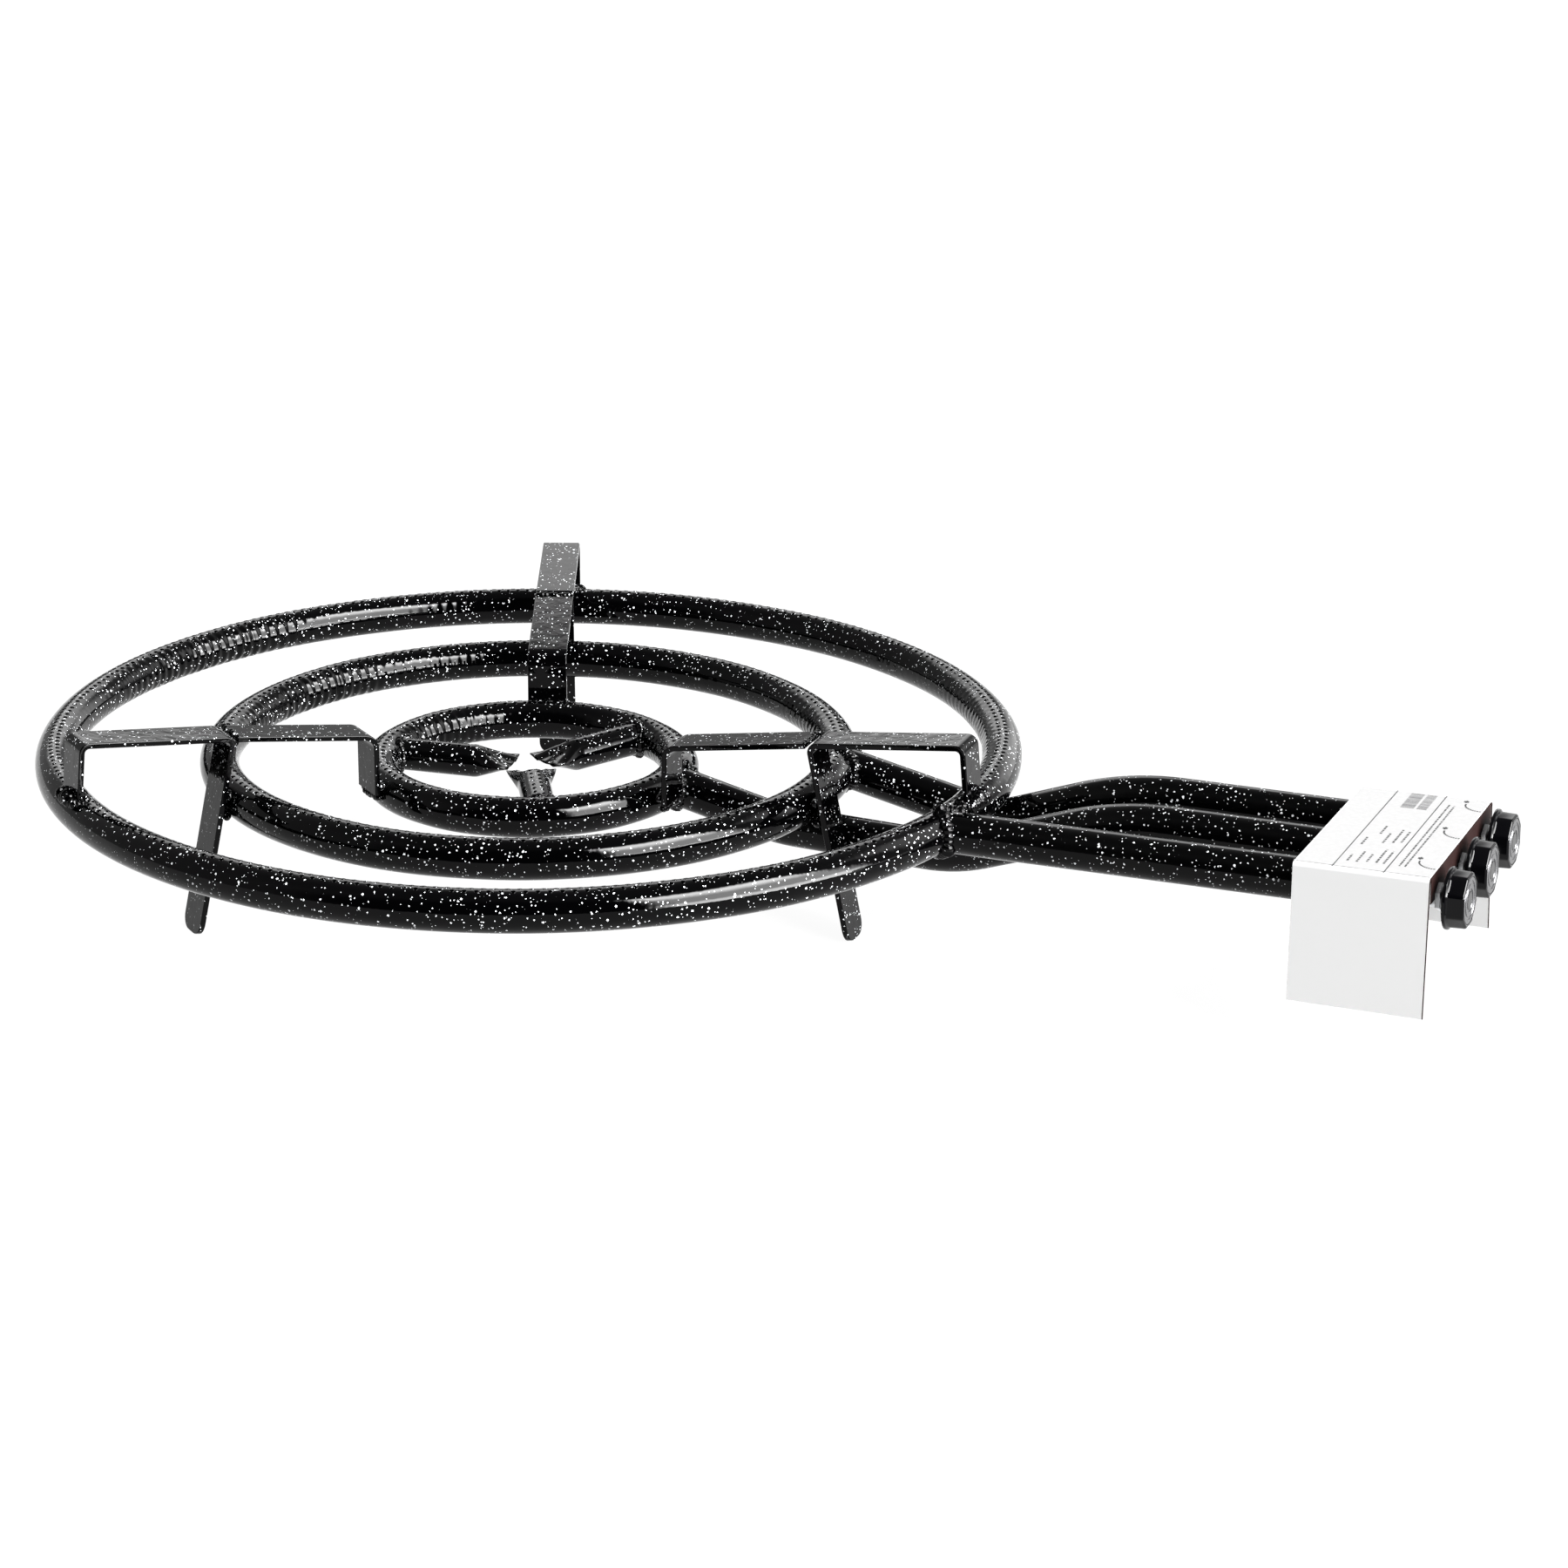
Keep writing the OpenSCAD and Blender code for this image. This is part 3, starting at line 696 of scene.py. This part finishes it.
def dashes(along, start, end, height, longest):
    """A row of marks of uneven length, standing for small print."""
    parts = []
    at = start
    while at < end:
        length = rng.uniform(1.0, longest)
        parts.append(printed(along, at + length / 2, height, min(length, end - at)))
        at += length + rng.uniform(0.5, 1.1)
    return parts


def setting_mark(across):
    """One curved setting mark with a small flame, in front of its tap."""
    parts = []
    for k in range(ARC_MARKS):
        turn = math.pi / 2 * k / (ARC_MARKS - 1)
        along = ARC_CENTRE[0] - ARC_RADII[0] * math.cos(turn)
        sideways = across + ARC_CENTRE[1] - ARC_RADII[1] * math.sin(turn)
        parts.append(printed(along, sideways, 1.0, 1.3))
    for rise, length in FLAME_BARS:
        parts.append(printed(FLAME_AT[0] + rise, across + FLAME_AT[1], 0.9, length))
    return parts


def label_print(ink, pale_ink):
    """Plain rules, setting marks, dashes and a striped block in place of lettering."""
    middle, rule_width, rule_length = RULE
    dark = [printed(along, middle, rule_width, rule_length) for along in RULES_AT]
    for across in SETTINGS_AT:
        dark += setting_mark(across)
    pale = []
    for along, start, end in LINES_OF_PRINT:
        pale += dashes(along, start, end, 1.0, 4)
    for k in range(STRIPES):
        across = STRIPES_FROM + STRIPE_SPACING * k
        for along, length in STRIPE_ROWS:
            pale.append(printed(along, across, length, rng.uniform(0.3, 0.7)))
    for along, start, end in BLOCKS_OF_PRINT:
        pale += dashes(along, start, end, 1.2, 3)
    for name, parts, material in (("label_rules", dark, ink), ("label_small_print", pale, pale_ink)):
        points, faces = joined(parts)
        piece(name, in_handle(points), faces, material, "label", smooth=20)


def octagon(angle, flat, corner):
    """Radius of an eight-sided outline with rounded corners."""
    local = (angle + math.pi / 8) % (math.pi / 4) - math.pi / 8
    sharp = flat / np.cos(local)
    return (sharp**-OCTAGON_SHARPNESS + corner**-OCTAGON_SHARPNESS) ** (-1 / OCTAGON_SHARPNESS)


def turned(profile, index):
    """Points and faces of a solid turned about a tap's axis.

    Each station of the profile is (x, radius) or (x, radius, share of the eight-sided shape).
    """
    angles = np.arange(TURNED_POINTS) * 2 * math.pi / TURNED_POINTS
    points = []
    for x, radius, *share in profile:
        lobe = share[0] if share else 0
        eight = octagon(angles, radius * OCTAGON_FLAT, radius)
        r = radius + (eight - radius) * lobe
        points.append(np.stack([x + 0 * r, r * np.sin(angles), r * np.cos(angles)], axis=-1))
    faces = flipped(grid_faces(len(profile), TURNED_POINTS)) + end_faces(len(profile), TURNED_POINTS)
    return at_tap(np.concatenate(points), index), faces


def shifted(profile, start):
    """A profile measured from a station of the tap's axis."""
    return [(start + x, *rest) for x, *rest in profile]


def grip_profile():
    """The knob's grip from its rear flange over the rounded front edge to the face."""
    profile = shifted(KNOB_REAR, KNOB_BACK)
    for k in range(GRIP_EDGE_STEPS + 1):
        turn = math.pi / 2 * k / GRIP_EDGE_STEPS
        back = GRIP_EDGE * (1 - math.sin(turn))
        inwards = GRIP_EDGE * (1 - math.cos(turn))
        profile.append((KNOB_FRONT - back, GRIP_FRONT_R - inwards, 1.0))
    return profile + shifted(KNOB_FACE, KNOB_FRONT)


def knob(index, plastic, chrome):
    body = f"tap_knob_{index + 1}"
    points, faces = turned(grip_profile(), index)
    made = piece(f"knob_{index + 1}_grip", points, faces, plastic, "knob", body)
    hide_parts(f"knob_{index + 1}")
    points, faces = turned(shifted(FACE_RING, KNOB_FRONT), index)
    made = piece(f"knob_{index + 1}_ring", points, faces, chrome, "chrome", body, smooth=20)
    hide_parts(f"knob_cap_{index + 1}")
    points, faces = turned(shifted(FACE_CENTRE, KNOB_FRONT), index)
    piece(f"knob_{index + 1}_centre", points, faces, plastic, "knob", body)


def tap_spring(index, finish):
    """Return spring of a tap: a coil of round wire."""
    start, end = SPRING_X
    share = np.linspace(0, 1, SPRING_STEPS * SPRING_TURNS + 1)
    turn = 2 * math.pi * SPRING_TURNS * share
    forward = np.array([1.0, 0, 0])
    outward = np.stack([0 * turn, np.sin(turn), np.cos(turn)], axis=-1)
    centre = (start + (end - start) * share)[:, None] * forward + SPRING_R * outward
    v = np.arange(WIRE_POINTS) * 2 * math.pi / WIRE_POINTS
    section = np.cos(v)[None, :, None] * outward[:, None] + np.sin(v)[None, :, None] * forward
    points = (centre[:, None] + SPRING_WIRE_R * section).reshape(-1, 3)
    faces = flipped(grid_faces(len(share), WIRE_POINTS) + end_faces(len(share), WIRE_POINTS))
    made = piece(f"spring_{index + 1}_coil", at_tap(points, index), faces, finish, "zinc",
                 f"tap_plug_{index + 1}")
    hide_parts(f"spring_{index + 1}")
    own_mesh(made)


# ---- materials ----


class Nodes:
    """Short calls for building a node tree."""

    def __init__(self, tree):
        self.tree = tree
        tree.nodes.clear()

    def add(self, kind, values=None, **settings):
        node = self.tree.nodes.new(kind)
        for key, value in settings.items():
            setattr(node, key, value)
        for key, value in (values or {}).items():
            self.put(node.inputs[key], value)
        return node

    def put(self, socket, value):
        if isinstance(value, bpy.types.NodeSocket):
            self.tree.links.new(value, socket)
        else:
            socket.default_value = value

    def math(self, operation, *values):
        node = self.add("ShaderNodeMath", operation=operation)
        for socket, value in zip(node.inputs, values):
            self.put(socket, value)
        return node.outputs[0]

    def ramp(self, value, low, high, start=0.0, end=1.0):
        node = self.add("ShaderNodeMapRange", interpolation_type="SMOOTHSTEP", values={
            "Value": value, "From Min": low, "From Max": high, "To Min": start, "To Max": end,
        })
        return node.outputs[0]

    def noise(self, place, scale):
        return self.add("ShaderNodeTexNoise", values={"Vector": place, "Scale": scale}).outputs

    def mixed_colour(self, share, first, second):
        """A colour that goes from the first to the second as share goes from 0 to 1."""
        node = self.add("ShaderNodeMix", data_type="RGBA")
        self.put(node.inputs["Factor"], share)
        node.inputs[6].default_value = (*first, 1)
        node.inputs[7].default_value = (*second, 1)
        return node.outputs[2]

    def finish(self, **values):
        """Ends a material in a Principled shader with these sockets set or linked."""
        sockets = {key.replace("_", " "): value for key, value in values.items()}
        shader = self.add("ShaderNodeBsdfPrincipled", values=sockets)
        output = self.add("ShaderNodeOutputMaterial")
        self.put(output.inputs["Surface"], shader.outputs[0])


def new_material(name):
    """A new material, its node calls, and the place on the object in metres."""
    material = bpy.data.materials.new(name)
    material.use_nodes = True
    nodes = Nodes(material.node_tree)
    place = nodes.add("ShaderNodeTexCoord").outputs["Object"]
    return material, nodes, place


def speck_layer(nodes, place, cell, smallest, largest, share):
    """White dots scattered through space: a share of cells of that size, in mm, holds one each."""
    voronoi = nodes.add("ShaderNodeTexVoronoi", values={"Vector": place, "Scale": 1000 / cell})
    chance = nodes.add("ShaderNodeSeparateColor", values={"Color": voronoi.outputs["Color"]})
    radius = nodes.ramp(chance.outputs[0], 1 - share, 1.0, smallest / cell, largest / cell)
    present = nodes.math("GREATER_THAN", chance.outputs[0], 1 - share)
    inside = nodes.math("SUBTRACT", radius, voronoi.outputs["Distance"])
    dot = nodes.ramp(inside, -0.012, 0.012)
    return nodes.math("MULTIPLY", dot, present)


def enamel_material():
    """Black vitreous enamel with white specks and a slightly wavy gloss."""
    material, nodes, place = new_material("speckled_enamel")
    # The specks' outlines are ragged, and the small ones thin out in patches.
    shift = nodes.add("ShaderNodeVectorMath", operation="MULTIPLY_ADD")
    nodes.put(shift.inputs[0], nodes.noise(place, 900.0)["Color"])
    shift.inputs[1].default_value = (0.0009, 0.0009, 0.0009)
    nodes.put(shift.inputs[2], place)
    large = speck_layer(nodes, shift.outputs[0], 3.2, 0.32, 0.68, 0.55)
    small = speck_layer(nodes, shift.outputs[0], 2.0, 0.22, 0.46, 0.5)
    thick = nodes.ramp(nodes.noise(place, 45.0)["Fac"], 0.3, 0.45)
    specks = nodes.math("MAXIMUM", large, nodes.math("MULTIPLY", small, thick))
    bump = nodes.add("ShaderNodeBump", values={
        "Height": nodes.noise(place, 130.0)["Fac"], "Strength": 0.12, "Distance": 0.001,
    })
    nodes.finish(
        Base_Color=nodes.mixed_colour(specks, (0.0002, 0.0002, 0.00025), (0.4, 0.41, 0.42)),
        Roughness=0.04,
        Specular_IOR_Level=0.12,
        Normal=bump.outputs[0],
    )
    return material


def plain_material(name, colour, roughness, metallic, grain, specular=0.5):
    """A single colour with a faint grain in its roughness."""
    material, nodes, place = new_material(name)
    noise = nodes.noise(place, 350.0)["Fac"]
    nodes.finish(
        Base_Color=(*colour, 1),
        Roughness=nodes.ramp(noise, 0.3, 0.7, roughness - grain, roughness + grain),
        Metallic=metallic,
        Specular_IOR_Level=specular,
    )
    return material


def sheet_material():
    """Pale coated sheet whose front lip, behind the knobs, is dark brown: partly the lip's own
    reddish-brown tint, partly a painted reflection of the black knobs.
    """
    material, nodes, place = new_material("plated_sheet")
    parts = nodes.add("ShaderNodeSeparateXYZ", values={"Vector": place}).outputs
    forward = nodes.math("MULTIPLY_ADD", parts[2], math.tan(HANDLE_TILT), parts[0])
    lip = nodes.ramp(forward, LIP_FROM, LIP_FROM + 0.0001)
    nodes.finish(
        # The lip's dark brown is partly its own reddish-brown tint and partly a painted reflection of
        # the black knobs in front of it.
        Base_Color=nodes.mixed_colour(lip, (0.382, 0.382, 0.382), (0.006, 0.0013, 0.001)),
        Roughness=nodes.ramp(lip, 0.0, 1.0, 0.4, 0.65),
        Specular_IOR_Level=0.1,
    )
    return material


def finish_frame(frame, finishes):
    """Gives every CAD node the finish listed for its kind, enamel where none is listed."""
    for node, made in frame["nodes"].items():
        kind = node.rstrip("_123")
        made.data.materials.clear()
        made.data.materials.append(finishes[NODE_FINISH.get(kind, "enamel")])


# ---- studio ----


def studio_world():
    """Soft top light, a big box to the right, bright walls at the back, and a dark camera side."""
    world = bpy.data.worlds.new("studio")
    bpy.context.scene.world = world
    world.use_nodes = True
    nodes = Nodes(world.node_tree)
    direction = nodes.add("ShaderNodeTexCoord").outputs["Generated"]
    parts = nodes.add("ShaderNodeSeparateXYZ", values={"Vector": direction}).outputs
    azimuth = nodes.math("ARCTAN2", parts[1], parts[0])
    height = nodes.math("ARCSINE", parts[2])

    def ramp_by_degrees(value, low, high, start, end):
        return nodes.ramp(value, math.radians(low), math.radians(high), start, end)

    def window(value, low, high, soft):
        opening = ramp_by_degrees(value, low - soft, low + soft, 0.0, 1.0)
        closing = ramp_by_degrees(value, high - soft, high + soft, 1.0, 0.0)
        return nodes.math("MULTIPLY", opening, closing)

    def patch(across, up):
        return nodes.math("MULTIPLY", window(azimuth, *across), window(height, *up))

    toward = nodes.add("ShaderNodeVectorMath", operation="DOT_PRODUCT")
    nodes.put(toward.inputs[0], direction)
    toward.inputs[1].default_value = CAMERA_BACK
    outer, inner, far_share, near_share = DARK_ROUND_CAMERA
    away = nodes.ramp(toward.outputs["Value"], math.cos(math.radians(outer)),
                      math.cos(math.radians(inner)), far_share, near_share)
    total = nodes.math("MULTIPLY", ramp_by_degrees(height, *OPEN_SKY), away)
    across, up, strength = SOFT_BOX
    bands = nodes.math("ADD", ramp_by_degrees(height, *BOX_UPPER), ramp_by_degrees(height, *BOX_FOOT))
    box = nodes.math("MULTIPLY", patch(across, up), bands)
    total = nodes.math("MULTIPLY_ADD", box, strength, total)
    for across, up, strength in (FILL, BACK_WALL, SIDE_PANEL):
        total = nodes.math("MULTIPLY_ADD", patch(across, up), strength, total)
    light = nodes.add("ShaderNodeBackground", values={"Strength": total})
    output = nodes.add("ShaderNodeOutputWorld")
    nodes.put(output.inputs["Surface"], light.outputs[0])


def floor():
    """A wide white sweep that glows a little, so that shadows stay faint."""
    material = bpy.data.materials.new("white_floor")
    material.use_nodes = True
    nodes = Nodes(material.node_tree)
    matt = nodes.add("ShaderNodeBsdfDiffuse", values={"Color": (0.04, 0.04, 0.04, 1)})
    glow = nodes.add("ShaderNodeEmission", values={"Color": (1, 1, 1, 1), "Strength": FLOOR_GLOW})
    both = nodes.add("ShaderNodeAddShader")
    nodes.put(both.inputs[0], matt.outputs[0])
    nodes.put(both.inputs[1], glow.outputs[0])
    output = nodes.add("ShaderNodeOutputMaterial")
    nodes.put(output.inputs["Surface"], both.outputs[0])
    mesh = bpy.data.meshes.new("floor")
    corners = [(x * FLOOR_HALF, y * FLOOR_HALF, 0) for x, y in ((-1, -1), (1, -1), (1, 1), (-1, 1))]
    mesh.from_pydata(corners, [], [(0, 1, 2, 3)])
    mesh.materials.append(material)
    made = bpy.data.objects.new("floor", mesh)
    bpy.context.scene.collection.objects.link(made)


def camera():
    data = bpy.data.cameras.new("camera")
    data.sensor_width = CAMERA_SENSOR
    data.lens = CAMERA_LENS
    data.shift_x, data.shift_y = CAMERA_SHIFT
    data.clip_end = CAMERA_REACH
    made = bpy.data.objects.new("camera", data)
    axes = Matrix([CAMERA_RIGHT, CAMERA_UP, CAMERA_BACK]).transposed().to_4x4()
    made.matrix_world = Matrix.Translation(Vector(CAMERA_AT)) @ axes
    bpy.context.scene.collection.objects.link(made)
    bpy.context.scene.camera = made


# ---- build ----

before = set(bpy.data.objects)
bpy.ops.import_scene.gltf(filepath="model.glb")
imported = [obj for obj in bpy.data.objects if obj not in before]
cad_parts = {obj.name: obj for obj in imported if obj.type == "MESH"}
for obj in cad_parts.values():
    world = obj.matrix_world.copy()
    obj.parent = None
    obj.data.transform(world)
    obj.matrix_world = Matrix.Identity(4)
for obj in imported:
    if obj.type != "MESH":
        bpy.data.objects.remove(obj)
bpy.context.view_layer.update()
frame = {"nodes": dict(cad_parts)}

finishes = {
    "enamel": enamel_material(),
    "sheet": sheet_material(),
    "label": plain_material("label_film", (0.2, 0.2, 0.2), 0.35, 0.0, 0.03),
    "zinc": plain_material("zinc", (0.6, 0.61, 0.62), 0.33, 1.0, 0.06),
    "brass": plain_material("brass", (0.72, 0.53, 0.24), 0.28, 1.0, 0.05),
    "chrome": plain_material("chrome", (0.1, 0.1, 0.105), 0.26, 1.0, 0.02),
    "knob": plain_material("black_plastic", (0.0006, 0.0006, 0.0008), 0.08, 0.0, 0.01, 0.16),
}
finish_frame(frame, finishes)
enamel = finishes["enamel"]

for ring in RINGS:
    burner_ring(ring, enamel)
for index in range(3):
    jet(index, enamel)
    pan_support(index, enamel)
    knob(index, finishes["knob"], finishes["chrome"])
    tap_spring(index, finishes["zinc"])
all_welds(enamel)
label_print(
    plain_material("print_dark", (0.004, 0.004, 0.005), 0.6, 0.0, 0.05),
    plain_material("print_grey", (0.02, 0.02, 0.021), 0.6, 0.0, 0.05),
)

studio_world()
floor()
camera()
bpy.context.scene.view_settings.view_transform = "Standard"
